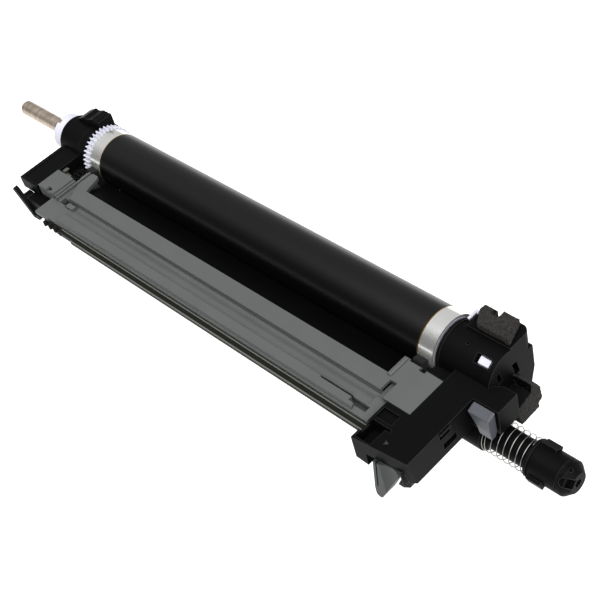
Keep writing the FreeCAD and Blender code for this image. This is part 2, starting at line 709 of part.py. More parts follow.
def front_foot():
    # Grey pointed foot under the front of the box: a thin wall, a slot and a face scooped hollow.
    left, right = 249.9, 263.8
    front, back = box_front_y - 1.0, -57.6
    high, low = -4.3, rest_level
    tip_x, tip_round = 248.4, 1.9
    pairs = [(left, high), (right, high), (right - 6.2, high - 12.1), (tip_x + 1.7, low + 1.0), (tip_x, low + 1.0)]
    pairs += [(tip_x - 1.9, low + 1.9), (tip_x - 1.8, low + 6.0)]
    blade = prism_y(pairs, front, back)
    tip = Part.makeCylinder(tip_round, back - front, vec(tip_x, front, low + tip_round), vec(0, 1, 0))
    body = joined([blade, tip])
    line = [(left + 1.6, high + 1), (left + 2.4, high + 1), (tip_x + 0.8, low + 8.5), (tip_x + 0.1, low + 8.5)]
    slot = prism_y(line, front - 1, front + 4.0)
    scoop = Part.makeCylinder(9.0, high - low + 2, vec(left + 9.2, front - 7.0, low - 1), vec(0, 0, 1))
    return body.cut(slot).cut(scoop)


# Waste tube and shutter
def waste_tube():
    body = pipe(246.4, tube_end_x, tube_radius, tube_bore, auger_y, auger_z)
    outlet = box(outlet_left, outlet_left + 8.0, auger_y - 3.5, auger_y + 3.5, auger_z - 9.0, auger_z)
    return body.cut(outlet)


def about_tube(shape, degrees):
    shape.rotate(vec(0, auger_y, auger_z), vec(1, 0, 0), degrees)
    return shape


def tube_cap():
    # A tapered cap. The key groove on its side faces up and to the front.
    x = shutter_right + 0.4
    seat = tube_end_x - x + press_gap
    bore = tube_radius + press_gap
    end = seat + 3.7
    profile = [(0, bore), (0, shutter_radius), (end - 3.7, shutter_radius), (end - 3.0, shutter_radius - 0.4)]
    profile += [(end, shutter_radius - 3.2), (end, 2.0), (end - 2.2, 1.8), (end - 2.2, 0), (seat, 0), (seat, bore)]
    body = turned(x, auger_y, auger_z, profile)
    groove_x = tube_end_x + 1.2
    groove = box(groove_x, x + end + 1, auger_y + 3.0, auger_y + 10, auger_z - 2.1, auger_z + 2.1)
    body = body.cut(about_tube(groove, 141))
    round_end = Part.makeCylinder(2.1, 4.0, vec(groove_x, auger_y + 7.2, auger_z), vec(0, 1, 0))
    body = body.cut(about_tube(round_end, 141))
    return body.cut(upright(tube_end_x + 1.0, auger_y - 0.7, auger_z + 6.9, auger_z + 10, 0.7))


def outlet_shutter():
    sleeve = rod(shutter_left, shutter_right, shutter_radius, auger_y, auger_z)
    lip = rod(shutter_left, shutter_left + 1.2, spring_radius + 0.5, auger_y, auger_z)
    shapes = [sleeve, lip]
    for degrees in (60, 200):
        near, out = auger_y + 6.8, auger_y + ear_radius
        ear = box(shutter_left + 2.2, shutter_left + ear_length, near, out, auger_z - 2.5, auger_z + 2.5)
        shapes.append(about_tube(ear, degrees))
    body = joined(shapes)
    return body.cut(rod(shutter_left - 1, shutter_right + 1, tube_radius + 0.3, auger_y, auger_z))


def shutter_spring():
    length = shutter_left - boss_end_x - 2 * seat_gap - 2 * wire_radius
    sides = 6
    corners = [2 * math.pi * number / sides for number in range(sides)]
    profile = [(spring_radius + wire_radius * math.cos(a), wire_radius * math.sin(a)) for a in corners]
    return coil(profile, boss_end_x + seat_gap + wire_radius, length, spring_turns, 14)


# Release lever
def release_lever():
    # A block that tips on its pin, with a flat top and a lower left corner that is cut away.
    back = arm_front_y - 0.4
    front = back - 4.8
    low = lever_pin_z - 3.4
    pairs = [(back, top_level - 0.5), (front, top_level - 2.1), (front - 0.1, lever_pin_z + 3.0), (back - 3.9, low)]
    pairs += [(back - 1.3, low - 0.2), (back, lever_pin_z - 1.0)]
    body = prism_x(pairs, lever_left, lever_right)
    slant = [(lever_left - 1, top_level - 2.0), (lever_left, top_level - 2.0), (lever_left + 4.2, lever_pin_z + 3.0)]
    body = body.cut(prism_y(slant + [(lever_left - 1, lever_pin_z + 3.0)], front - 1, back + 1))
    corner = box(lever_left - 1, lever_left + 4.4, front - 2, back + 1, low - 1, lever_pin_z + 3.1)
    body = body.cut(corner)
    blind = lever_right - 1.5
    return body.cut(rod(lever_left - 1, blind, lever_pin_radius + running_gap, lever_pin_y, lever_pin_z))


def lever_pin():
    return rod(262.2, lever_right - 1.8, lever_pin_radius, lever_pin_y, lever_pin_z)


# Foam seals
def top_foam():
    left, right = pad_left + 1.0, plate_x - 0.9
    front, back = pad_front_y + 0.5, pad_back_y - 0.8
    pairs = [(left + 4.0, front), (right, front), (right - 3.8, back), (left + 9.2, back), (left + 9.2, back - 4.2)]
    pairs += [(left + 4.7, back - 4.2), (left + 4.7, back - 1.3), (left, back - 1.3), (left, back - 5.2)]
    return prism_z(pairs, pad_level, pad_level + foam_thick)


def end_foam():
    pairs = [(-5.2, -22.0), (-7.8, -10.8), (2.8, -8.0), (3.4, -2.6), (8.5, -9.0), (9.5, -17.8), (6.8, -18.4)]
    pairs.append((6.9, -21.7))
    return prism_x(pairs, plate_x + press_gap, plate_x + 9.8)


makers = [drum_sleeve, left_gear_flange, right_flange, drum_shaft, idler_gear, idler_pin, auger_gear]
makers += [waste_auger, left_bush, left_bracket, guide_fin, earth_contact, cleaning_frame, blade_holder]
makers += [cleaning_blade, blade_screws, lower_trough, lower_seal, left_end_seal, right_end_seal]
makers += [right_housing, right_bearing, latch_clip, front_foot, waste_tube, tube_cap, outlet_shutter]
makers += [shutter_spring, release_lever, lever_pin, top_foam, end_foam]

os.makedirs("parts", exist_ok=True)
shapes = {maker.__name__: maker() for maker in makers}
whole = FreeCAD.BoundBox()
for shape in shapes.values():
    whole.add(shape.optimalBoundingBox())
shift = vec(-whole.Center.x, -whole.Center.y, -whole.ZMin)
for name, shape in shapes.items():
    shape.translate(shift)
    shape.exportStep("parts/" + name + ".step")
print("shift", round(shift.x, 4), round(shift.y, 4), round(shift.z, 4))
print("size", round(whole.XLength, 2), round(whole.YLength, 2), round(whole.ZLength, 2))
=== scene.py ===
# %% [markdown]
# # A printer's drum unit
# The unit holds a long coated drum, the blade that wipes it, a screw that carries the waste away and
# the gears that turn them. The solids come from the CAD frame. Here they get their finishes, their
# fine details, a camera and a soft studio light.

# %% Load the frame
import math

import bpy
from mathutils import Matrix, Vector


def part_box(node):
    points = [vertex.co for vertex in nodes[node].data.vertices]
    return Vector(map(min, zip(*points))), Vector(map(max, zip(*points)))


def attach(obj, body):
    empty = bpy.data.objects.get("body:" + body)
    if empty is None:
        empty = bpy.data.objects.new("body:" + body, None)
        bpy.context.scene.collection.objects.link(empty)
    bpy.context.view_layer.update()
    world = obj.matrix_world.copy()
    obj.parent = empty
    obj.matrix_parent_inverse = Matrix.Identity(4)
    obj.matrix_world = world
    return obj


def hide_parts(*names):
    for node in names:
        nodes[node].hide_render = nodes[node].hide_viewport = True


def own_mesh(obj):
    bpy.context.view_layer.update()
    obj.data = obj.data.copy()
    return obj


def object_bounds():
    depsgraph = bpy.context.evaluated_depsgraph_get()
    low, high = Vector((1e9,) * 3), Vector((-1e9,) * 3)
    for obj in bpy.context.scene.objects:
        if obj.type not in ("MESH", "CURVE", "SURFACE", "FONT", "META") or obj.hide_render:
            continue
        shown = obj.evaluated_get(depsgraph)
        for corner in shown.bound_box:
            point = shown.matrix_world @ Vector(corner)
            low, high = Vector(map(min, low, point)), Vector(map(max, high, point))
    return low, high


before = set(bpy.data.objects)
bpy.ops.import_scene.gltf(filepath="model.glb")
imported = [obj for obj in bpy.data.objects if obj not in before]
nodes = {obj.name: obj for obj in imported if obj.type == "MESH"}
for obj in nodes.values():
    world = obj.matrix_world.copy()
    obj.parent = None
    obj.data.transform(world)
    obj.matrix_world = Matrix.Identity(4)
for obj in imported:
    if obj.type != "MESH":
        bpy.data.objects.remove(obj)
cad_low, cad_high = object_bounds()
scene = bpy.context.scene
MM = 0.001
print("nodes", len(nodes), "size in mm", [round(side / MM, 1) for side in cad_high - cad_low])

# %% [markdown]
# All places below are in millimetres from the drum's axis, because every other piece of the real
# unit is set out from it. X runs along the drum and starts where its coating starts, after a band of
# bare metal.

# %% Places from the drum
BARE_BAND = 9.0
drum_low, drum_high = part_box("drum_sleeve")
START = Vector((drum_low.x + BARE_BAND * MM,
                (drum_low.y + drum_high.y) / 2, (drum_low.z + drum_high.z) / 2))


def place(x, y, z):
    """A point in the frame, from millimetres along, across and above the drum's axis."""
    return START + Vector((x, y, z)) * MM


print("drum radius", round((drum_high.z - drum_low.z) / 2 / MM, 2),
      "ends at", round((drum_high.x - START.x) / MM, 1))

# %% [markdown]
# The photograph was taken from above the right end, with a long lens and with the camera rolled
# over, so the unit lies on the diagonal. A camera could be turned by eye until the outlines agree.
# Here its place and turn were fitted to points on the drum, whose round ends and straight sides fix
# both.

# %% Camera
LENS = 73.16
CAMERA_PLACE = (502.78, -242.70, 403.24)
CAMERA_TURN = (44.051, 11.799, 44.848)
camera_data = bpy.data.cameras.new("camera")
camera_data.lens = LENS
camera_data.clip_start = 0.01
camera_data.clip_end = 20.0
camera = bpy.data.objects.new("camera", camera_data)
camera.location = place(*CAMERA_PLACE)
camera.rotation_euler = [math.radians(angle) for angle in CAMERA_TURN]
scene.collection.objects.link(camera)
scene.camera = camera
print("camera at", [round(side, 3) for side in camera.location], "lens", LENS)

# %% [markdown]
# The picture was cut out on pure white and nothing in it is washed out, so the plain Standard view
# is used. It keeps blacks black, where a filmic view would lift them to grey. A little more contrast
# deepens them further.

# %% Picture tones
scene.view_settings.view_transform = "Standard"
scene.view_settings.look = "Medium High Contrast"
print("view", scene.view_settings.view_transform, scene.view_settings.look)

# %% [markdown]
# Every finish below is a node material. Three helpers keep them short: one turns a colour as seen on
# a screen into the linear value that a shader takes, one adds a node with its settings and links, and
# one starts a material whose patterns are measured in millimetres on the piece itself.

# %% Material helpers
# The places of a Mix node's share, its two colours and its mixed colour among its sockets.
SHARE, FIRST, SECOND, MIXED = 0, 6, 7, 2


def colour(code):
    """Turns an sRGB hex value into the linear colour that a shader takes."""
    parts = [int(code[i:i + 2], 16) / 255 for i in (0, 2, 4)]
    return [c / 12.92 if c <= 0.04045 else ((c + 0.055) / 1.055) ** 2.4 for c in parts] + [1.0]


def add_node(tree, kind, settings=None, links=None):
    """Adds a node, fills in its sockets and properties, and links sockets of others to it."""
    node = tree.nodes.new(kind)
    for name, value in (settings or {}).items():
        if isinstance(name, int) or name in node.inputs:
            node.inputs[name].default_value = value
        else:
            setattr(node, name, value)
    for name, socket in (links or {}).items():
        tree.links.new(socket, node.inputs[name])
    return node


def start_material(name):
    """An empty material with a Principled shader, its output and Object coordinates in millimetres."""
    material = bpy.data.materials.new(name)
    material.use_nodes = True
    tree = material.node_tree
    tree.nodes.clear()
    shader = add_node(tree, "ShaderNodeBsdfPrincipled")
    add_node(tree, "ShaderNodeOutputMaterial", links={"Surface": shader.outputs["BSDF"]})
    coords = add_node(tree, "ShaderNodeTexCoord")
    spot = add_node(tree, "ShaderNodeMapping", {"Scale": (1 / MM, 1 / MM, 1 / MM)},
                    {"Vector": coords.outputs["Object"]})
    return material, tree, shader, spot.outputs["Vector"]


print("white is", colour("ffffff"))

# %% [markdown]
# Pure white all round comes from a light table, a sheet of opal acrylic with lamps below it. A white
# card would do as a floor too, but it takes the shadow of whatever stands on it. The sheet glows
# evenly, so shadows on it stay very faint.

# %% Floor
FLOOR_SIZE = 12.0
FLOOR_GAP = 0.0002
bpy.ops.object.select_all(action="DESELECT")
bpy.ops.mesh.primitive_plane_add(size=FLOOR_SIZE, location=(0, 0, cad_low.z - FLOOR_GAP))
floor = bpy.context.object
floor.name = "floor"

floor_material, tree, shader, spot = start_material("opal acrylic light table")
shader.inputs["Base Color"].default_value = colour("7c7c7c")
shader.inputs["Specular IOR Level"].default_value = 0.1
shader.inputs["Emission Color"].default_value = colour("ffffff")
shader.inputs["Emission Strength"].default_value = 0.95
grain = add_node(tree, "ShaderNodeTexNoise", {"Scale": 0.02}, {"Vector": spot})
matt = add_node(tree, "ShaderNodeMapRange", {"To Min": 0.86, "To Max": 0.94},
                {"Value": grain.outputs["Fac"]})
tree.links.new(matt.outputs["Result"], shader.inputs["Roughness"])
floor.data.materials.append(floor_material)
print("floor", FLOOR_SIZE, "m wide, top at", round(floor.location.z / MM, 2), "mm")

# %% [markdown]
# Black plastic shows hardly any colour of its own, only what it reflects, so the surround matters
# more than the lamp. It is dim in front of the unit and brighter behind it, with a soft change
# between, as where a dark studio meets a white screen.

# %% Surround
world = bpy.data.worlds.new("studio surround")
world.use_nodes = True
tree = world.node_tree
way = add_node(tree, "ShaderNodeTexCoord")
parts = add_node(tree, "ShaderNodeSeparateXYZ", links={"Vector": way.outputs["Generated"]})
behind = add_node(tree, "ShaderNodeMapRange",
                  {"From Min": -0.72, "From Max": -0.28, "To Min": 0.02, "To Max": 0.42},
                  {"Value": parts.outputs["Y"]})
tree.links.new(behind.outputs["Result"], tree.nodes["Background"].inputs["Strength"])
tree.nodes["Background"].inputs["Color"].default_value = colour("ffffff")
scene.world = world
print("surround", world.name)

# %% [markdown]
# One very wide, even light stands above the right end. It lights every face that the camera sees but
# isn't mirrored in the drum, whose reflections all come from the left. Several lamps would each leave
# a streak of their own along the drum.

# %% Light
LIGHT_FROM = (0.42, -0.3, 0.88)
LIGHT_POWER = 4.9
LIGHT_SPREAD = 90
light_data = bpy.data.lights.new("wide light above the right end", "SUN")
light_data.energy = LIGHT_POWER
light_data.angle = math.radians(LIGHT_SPREAD)
light = bpy.data.objects.new(light_data.name, light_data)
light.rotation_euler = Vector(LIGHT_FROM).to_track_quat("Z", "Y").to_euler()
scene.collection.objects.link(light)
print("light", light.name)

# %% [markdown]
# ## Finishes
# The housings are moulded plastic. The mould was spark eroded, which leaves a satin grain of less
# than a tenth of a millimetre. That is too fine to show, so it is drawn at half a millimetre or more.
# Real edges are never sharp: a Bevel node rounds them for the light. The black pieces also get a
# painted
# highlight along their edges: a paler tone is mixed in wherever the wall behind a face ends close by.

# %% Moulded plastics
# Width of the painted edge highlight, in millimetres.
EDGE_HIGHLIGHT_WIDTH = 0.45


def moulded(name, base, rough, grain_mm, height_mm, round_mm=0.25, specular=0.5, edge_highlight=None):
    """Moulded plastic: a slightly clouded colour, a fine grain, soft edges and perhaps a painted
    highlight on them.
    """
    material, tree, shader, spot = start_material(name)
    cloud = add_node(tree, "ShaderNodeTexNoise", {"Scale": 0.06, "Detail": 3.0}, {"Vector": spot})
    tone = add_node(tree, "ShaderNodeMix",
                    {"data_type": "RGBA", FIRST: colour(base[1]), SECOND: colour(base[0])},
                    {SHARE: cloud.outputs["Fac"]})
    # Painted highlight: a paler tone where the wall behind the face is thin, that is near an edge.
    if edge_highlight:
        thin = add_node(tree, "ShaderNodeAmbientOcclusion",
                        {"samples": 6, "inside": True, "Distance": EDGE_HIGHLIGHT_WIDTH * MM})
        near_edge = add_node(tree, "ShaderNodeMapRange", {"From Min": 0.75, "From Max": 0.45},
                             {"Value": thin.outputs["AO"]})
        tone = add_node(tree, "ShaderNodeMix", {"data_type": "RGBA", SECOND: colour(edge_highlight)},
                        {SHARE: near_edge.outputs["Result"], FIRST: tone.outputs[MIXED]})
    tree.links.new(tone.outputs[MIXED], shader.inputs["Base Color"])
    gloss = add_node(tree, "ShaderNodeMapRange", {"To Min": rough - 0.05, "To Max": rough + 0.05},
                     {"Value": cloud.outputs["Fac"]})
    tree.links.new(gloss.outputs["Result"], shader.inputs["Roughness"])
    shader.inputs["Specular IOR Level"].default_value = specular
    fine = add_node(tree, "ShaderNodeTexNoise", {"Scale": 1.0 / grain_mm, "Detail": 2.0},
                    {"Vector": spot})
    edge = add_node(tree, "ShaderNodeBevel", {"samples": 4, "Radius": round_mm * MM})
    bump = add_node(tree, "ShaderNodeBump", {"Strength": 0.35, "Distance": height_mm * MM},
                    {"Height": fine.outputs["Fac"], "Normal": edge.outputs["Normal"]})
    tree.links.new(bump.outputs["Normal"], shader.inputs["Normal"])
    return material


BLACK = ("101011", "0c0c0d")
# The black pieces get a painted highlight along their edges.
black_abs = moulded("black ABS, satin mould", BLACK, 0.46, 0.5, 0.03,
                    specular=0.07, edge_highlight="3c3c3e")
grey_abs = moulded("grey ABS, satin mould", ("545655", "4e504f"), 0.5, 0.5, 0.03, specular=0.3)
white_pom = moulded("white acetal, moulded", ("bcbcc5", "b2b2be"), 0.38, 0.7, 0.01)
lever_abs = moulded("mid grey ABS, polished mould", ("4c4e53", "44464b"), 0.38, 0.6, 0.01,
                    specular=0.35)
# The foot and the channel floor sit in shadow, so their grey is darker than the frame's: painted shade.
shaded_grey_abs = moulded("grey ABS, satin, darkened for painted shade", ("363838", "2d2f2f"), 0.5, 0.6, 0.02, specular=0.3)
print("plastics", [finish.name for finish in (black_abs, grey_abs, white_pom, lever_abs, shaded_grey_abs)])

# %% [markdown]
# The lower trough is the same black ABS. Its two long front lips show as fine pale lines of painted
# highlight, with an olive band between them. The lips could be pieces of their own, but they are the
# same wall, so two limits on the place mark them instead.

# %% Trough with painted lip highlights
BAND_FRONT = -54.8
LIP_BOTTOM = -0.75
trough_abs = moulded("black ABS, painted lip highlights", BLACK, 0.46, 0.5, 0.03, specular=0.07)
tree = trough_abs.node_tree
shader = next(node for node in tree.nodes if node.type == "BSDF_PRINCIPLED")
spot = next(node for node in tree.nodes if node.type == "MAPPING").outputs["Vector"]
plain_tone = shader.inputs["Base Color"].links[0].from_socket
lip_place = place(0, BAND_FRONT, LIP_BOTTOM) / MM
parts = add_node(tree, "ShaderNodeSeparateXYZ", links={"Vector": spot})
front = add_node(tree, "ShaderNodeMath", {"operation": "LESS_THAN", 1: lip_place.y},
                 {0: parts.outputs["Y"]})
lip = add_node(tree, "ShaderNodeMath", {"operation": "GREATER_THAN", 1: lip_place.z},
               {0: parts.outputs["Z"]})
# Painted highlight: the pale lines along the top of the front lips.
lip_highlight = add_node(tree, "ShaderNodeMath", {"operation": "MULTIPLY"},
                   {0: front.outputs[0], 1: lip.outputs[0]})
band_tone = add_node(tree, "ShaderNodeMix", {"data_type": "RGBA", SECOND: colour("20211e")},
                     {SHARE: front.outputs[0], FIRST: plain_tone})
lip_tone = add_node(tree, "ShaderNodeMix", {"data_type": "RGBA", SECOND: colour("60615c")},
                    {SHARE: lip_highlight.outputs[0], FIRST: band_tone.outputs[MIXED]})
tree.links.new(lip_tone.outputs[MIXED], shader.inputs["Base Color"])
print("lips start at", [round(side, 1) for side in lip_place.yz], "mm in the frame")

# %% [markdown]
# The drum is an aluminium tube, turned bright and dipped in a clear, dark photoconductor. The
# coating stops short of both ends, so each end shows a band of bare metal, and its edge is a thin
# amber line. One material holds all three, told apart by the distance from the coating's middle.

# %% Coated drum
COATED_LENGTH = 231.4
EDGE_OUT = 0.15
EDGE_WIDTH = 0.22
coated, tree, shader, spot = start_material("photoconductor coating on turned aluminium")
along = add_node(tree, "ShaderNodeSeparateXYZ", links={"Vector": spot})
coat_middle = START.x / MM + COATED_LENGTH / 2
coat_half = COATED_LENGTH / 2
aside = add_node(tree, "ShaderNodeMath", {"operation": "SUBTRACT", 1: coat_middle},
                 {0: along.outputs["X"]})
reach = add_node(tree, "ShaderNodeMath", {"operation": "ABSOLUTE"}, {0: aside.outputs[0]})
bare = add_node(tree, "ShaderNodeMath", {"operation": "GREATER_THAN", 1: coat_half},
                {0: reach.outputs[0]})
thin_edge = add_node(tree, "ShaderNodeMath",
                     {"operation": "COMPARE", 1: coat_half + EDGE_OUT, 2: EDGE_WIDTH},
                     {0: reach.outputs[0]})
# The tool's rings are half a millimetre apart along the drum and run round it.
rings = add_node(tree, "ShaderNodeMapping", {"Scale": (2.0, 0.02, 0.02)}, {"Vector": spot})
turning = add_node(tree, "ShaderNodeTexNoise", {"Scale": 1.0, "Detail": 4.0},
                   {"Vector": rings.outputs["Vector"]})
metal = add_node(tree, "ShaderNodeMix",
                 {"data_type": "RGBA", FIRST: colour("dcdedd"), SECOND: colour("f4f4ef")},
                 {SHARE: turning.outputs["Fac"]})
body_tone = add_node(tree, "ShaderNodeMix", {"data_type": "RGBA", FIRST: colour("060607")},
                     {SHARE: bare.outputs[0], SECOND: metal.outputs[MIXED]})
tone = add_node(tree, "ShaderNodeMix", {"data_type": "RGBA", SECOND: colour("8f6f34")},
                {SHARE: thin_edge.outputs[0], FIRST: body_tone.outputs[MIXED]})
tree.links.new(tone.outputs[MIXED], shader.inputs["Base Color"])
shine = add_node(tree, "ShaderNodeMapRange", {"To Min": 0.0, "To Max": 0.84},
                 {"Value": bare.outputs[0]})
tree.links.new(shine.outputs["Result"], shader.inputs["Metallic"])
gloss = add_node(tree, "ShaderNodeMapRange", {"To Min": 0.33, "To Max": 0.2},
                 {"Value": bare.outputs[0]})
tree.links.new(gloss.outputs["Result"], shader.inputs["Roughness"])
print("coating from", round(coat_middle - coat_half, 1), "to", round(coat_middle + coat_half, 1))

# %% [markdown]
# The shaft is free-cutting steel, centreless ground and a little dull with oil, so fine streaks run
# round it. A picture of brushed metal could give them, but noise pulled out in one direction needs no
# file and never repeats. The spring and the earth contact are zinc plated wire, whose plating is a
# little uneven in every direction.

# %% Metals


def metal_finish(name, base, rough, stretch, height_mm):
    """Bare metal with streaks whose length each way comes from the stretch."""
    material, tree, shader, spot = start_material(name)
    lines = add_node(tree, "ShaderNodeMapping", {"Scale": stretch}, {"Vector": spot})
    streak = add_node(tree, "ShaderNodeTexNoise", {"Scale": 1.0, "Detail": 4.0},
                      {"Vector": lines.outputs["Vector"]})
    tone = add_node(tree, "ShaderNodeMix",
                    {"data_type": "RGBA", FIRST: colour(base[1]), SECOND: colour(base[0])},
                    {SHARE: streak.outputs["Fac"]})
    tree.links.new(tone.outputs[MIXED], shader.inputs["Base Color"])
    gloss = add_node(tree, "ShaderNodeMapRange", {"To Min": rough - 0.06, "To Max": rough + 0.06},
                     {"Value": streak.outputs["Fac"]})
    tree.links.new(gloss.outputs["Result"], shader.inputs["Roughness"])
    shader.inputs["Metallic"].default_value = 1.0
    bump = add_node(tree, "ShaderNodeBump", {"Strength": 0.3, "Distance": height_mm * MM},
                    {"Height": streak.outputs["Fac"]})
    tree.links.new(bump.outputs["Normal"], shader.inputs["Normal"])
    return material


ground_steel = metal_finish("ground steel, oiled", ("d8ccbf", "94877a"), 0.46, (0.5, 0.12, 0.12), 0.01)
spring_wire = metal_finish("zinc plated spring wire", ("a4a4a0", "80807c"), 0.3, (1.0, 1.0, 1.0), 0.01)
print("metals", ground_steel.name, "and", spring_wire.name)

# %% [markdown]
# The foam seals are cut from charcoal polyurethane with open cells of just under a millimetre, and
# the drum's end seals from dark felt. Each cell is a hole in a paler wall, which a Voronoi pattern
# gives by itself, and the darkness in each cell is painted shade; a slower noise paints some of them
# darker.

# %% Foam and felt


def open_foam(name, base, cell_mm):
    """Open-cell foam: painted shade in the cells between paler walls, and a rough surface."""
    material, tree, shader, spot = start_material(name)
    cells = add_node(tree, "ShaderNodeTexVoronoi", {"Scale": 1.0 / cell_mm}, {"Vector": spot})
    spread = add_node(tree, "ShaderNodeTexNoise", {"Scale": 0.5 / cell_mm, "Detail": 4.0},
                      {"Vector": spot})
    both = add_node(tree, "ShaderNodeMath", {"operation": "MULTIPLY"},
                    {0: cells.outputs["Distance"], 1: spread.outputs["Fac"]})
    # Painted shade: the cells' centres are dark, and the walls keep the foam's own colour.
    wall = add_node(tree, "ShaderNodeMapRange", {"From Max": 0.35}, {"Value": both.outputs[0]})
    tone = add_node(tree, "ShaderNodeMix",
                    {"data_type": "RGBA", FIRST: colour(base[1]), SECOND: colour(base[0])},
                    {SHARE: wall.outputs["Result"]})
    tree.links.new(tone.outputs[MIXED], shader.inputs["Base Color"])
    shader.inputs["Roughness"].default_value = 0.95
    bump = add_node(tree, "ShaderNodeBump", {"Strength": 0.8, "Distance": 0.2 * MM},
                    {"Height": cells.outputs["Distance"]})
    tree.links.new(bump.outputs["Normal"], shader.inputs["Normal"])
    return material


charcoal_foam = open_foam("charcoal polyurethane foam, cut", ("2a2826", "020202"), 0.8)
dark_felt = open_foam("dark felt, cut", ("0c0c0c", "050505"), 0.4)
print("soft finishes", charcoal_foam.name, "and", dark_felt.name)

# %% [markdown]
# The blade is cast from dark urethane, the bent sheet that holds it is painted black, and the seal
# under the drum is polyester film. All three are smooth and even, so the finish of a moulded piece
# does for them too, with a wide, shallow grain.

# %% Blade, holder and film
urethane = moulded("dark urethane, cast", ("0c0b0b", "080707"), 0.4, 2.0, 0.005, specular=0.12)
painted_sheet = moulded("black painted sheet steel, bent", ("080809", "060607"), 0.4, 1.0, 0.005,
                        specular=0.1)
film = moulded("black polyester film", ("0e0e10", "0a0a0c"), 0.25, 3.0, 0.002)
print("thin pieces", urethane.name, "/", painted_sheet.name, "/", film.name)

# %% [markdown]
# Each solid now gets the finish of its real piece. Only the material changes: the solid's mesh and
# place stay as they were drawn, because the frame is what everything else is checked against.

# %% Finishes to nodes
finishes = {
    black_abs: ["idler_gear", "auger_gear", "waste_auger", "left_bracket", "guide_fin", "lever_pin",
                "right_housing", "waste_tube", "tube_cap", "outlet_shutter"],
    trough_abs: ["lower_trough"],
    grey_abs: ["cleaning_frame"],
    # The foot takes the darker grey, which is painted shade.
    shaded_grey_abs: ["front_foot"],
    lever_abs: ["release_lever"],
    white_pom: ["left_gear_flange", "right_flange", "left_bush", "right_bearing", "latch_clip"],
    coated: ["drum_sleeve"],
    ground_steel: ["drum_shaft", "idler_pin", "blade_screws"],
    spring_wire: ["shutter_spring", "earth_contact"],
    charcoal_foam: ["top_foam", "end_foam"],
    dark_felt: ["left_end_seal", "right_end_seal"],
    urethane: ["cleaning_blade"],
    painted_sheet: ["blade_holder"],
    film: ["lower_seal"],
}
for material, names in finishes.items():
    for name in names:
        nodes[name].data.materials.clear()
        nodes[name].data.materials.append(material)
print("finishes", len(finishes), "on", sum(len(names) for names in finishes.values()), "nodes")

# %% [markdown]
# ## Pieces
# Foam is cut from a sheet with a knife, so its outline is crisp but its faces are open cells. It
# could be sculpted, but the solid already has its outline. So the solid is copied. A voxel remesh
# gives the copy a fine even skin, a smooth rounds the corners as foam rounds, and a displacement by
# a cell pattern of just under a millimetre opens the pores.

# %% Foam and felt seals
WELD = 0.00001


def apply_modifier(piece, kind, settings):
    """Gives the active piece a modifier with its settings and turns the result into its mesh."""
    modifier = piece.modifiers.new(kind.lower(), kind)
    for name, value in settings.items():
        setattr(modifier, name, value)
    bpy.ops.object.modifier_apply(modifier=modifier.name)


def rounded_copy(name, node, material, skin_mm, rounds=4, cell_mm=0, depth_mm=0, body="unit"):
    """A copy of a solid with an even skin and rounded corners, and with open cells if it has depth."""
    bpy.ops.object.select_all(action="DESELECT")
    seal = bpy.data.objects.new(name, nodes[node].data.copy())
    scene.collection.objects.link(seal)
    seal.select_set(True)
    bpy.context.view_layer.objects.active = seal
    bpy.ops.object.mode_set(mode="EDIT")
    bpy.ops.mesh.select_all(action="SELECT")
    bpy.ops.mesh.remove_doubles(threshold=WELD)
    bpy.ops.object.mode_set(mode="OBJECT")
    apply_modifier(seal, "REMESH", {"mode": "VOXEL", "voxel_size": skin_mm * MM})
    apply_modifier(seal, "SMOOTH", {"factor": 0.5, "iterations": rounds})
    if depth_mm:
        cells = bpy.data.textures.new(name + "_cells", "VORONOI")
        cells.noise_scale = cell_mm * MM
        apply_modifier(seal, "DISPLACE",
                       {"texture": cells, "strength": depth_mm * MM, "mid_level": 0.6})
    bpy.ops.object.shade_smooth()
    seal.data.materials.clear()
    seal.data.materials.append(material)
    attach(seal, body)
    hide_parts(node)
    print(name, len(seal.data.polygons), "faces")


for name, node in (("top_foam_seal", "top_foam"), ("end_foam_seal", "end_foam")):
    rounded_copy(name, node, charcoal_foam, 0.32, cell_mm=0.8, depth_mm=0.6)
for name, node in (("left_felt_seal", "left_end_seal"), ("right_felt_seal", "right_end_seal")):
    rounded_copy(name, node, dark_felt, 0.3, cell_mm=0.6, depth_mm=0.12)

# %% [markdown]
# The release lever is a moulded thumb piece with wide, soft corners. A bevel would need each of its
# edges picked by place. The same skin without cells, smoothed more often, rounds all of them at once.

# %% Release lever
rounded_copy("rounded_lever", "release_lever", lever_abs, 0.2, rounds=24, body="lever")

# %% [markdown]
# Small moulded forms sit on top of the plastics, such as a stiffening rib across the right end of
# the grey frame and a raised arrow on the black housing. Each starts from a primitive of
# its size. Its upper face is drawn in for the mould's draft, and its edges are rounded by a bevel.
# A mould needs that draft, because a form with upright sides would stick in it.

# %% Rib on the frame
SAME_HEIGHT = 1e-7


def block(middle, size):
    """A cube of a size in millimetres, with its middle at a place from the drum's axis."""
    bpy.ops.object.select_all(action="DESELECT")
    bpy.ops.mesh.primitive_cube_add(size=1.0, location=place(*middle))
    piece = bpy.context.object
    piece.scale = [side * MM for side in size]
    bpy.ops.object.transform_apply(location=False, rotation=False, scale=True)
    return piece


